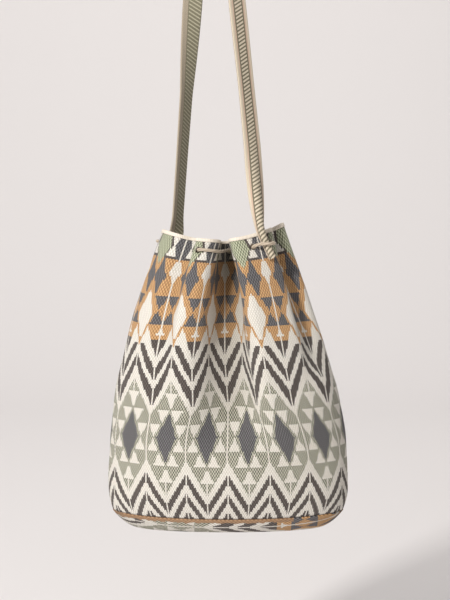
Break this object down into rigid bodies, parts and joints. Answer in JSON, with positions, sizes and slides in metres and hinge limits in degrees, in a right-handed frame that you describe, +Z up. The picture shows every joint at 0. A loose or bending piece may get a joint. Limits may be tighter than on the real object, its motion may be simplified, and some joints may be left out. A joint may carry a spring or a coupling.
{
  "type": "woven mochila bag",
  "caption": "Gathered bucket bag of patterned woven cloth with an oval base panel, a bound rim, a drawstring through eyelets and one long woven strap.",
  "frame": {"origin": "top of the strap loop, where the bag hangs", "axes": "+Z up along the hanging bag, -Y towards the front of the bag, +X to the right as the front is seen"},
  "size_m": [0.2642, 0.1262, 0.7415],
  "materials": {
    "body_wall": "patterned cotton weave in sage, ochre, cream and charcoal",
    "base_panel": "the same patterned cotton weave",
    "rim_binding": "cream cotton tape",
    "drawstring": "twisted cotton cord",
    "strap": "woven cotton band, olive with cream bars between cream borders"
  },
  "bodies": {
    "root": {"body_wall": "body_wall", "base_panel": "base_panel", "rim_binding": "rim_binding", "drawstring": "drawstring", "strap": "strap"}
  },
  "joints": []
}
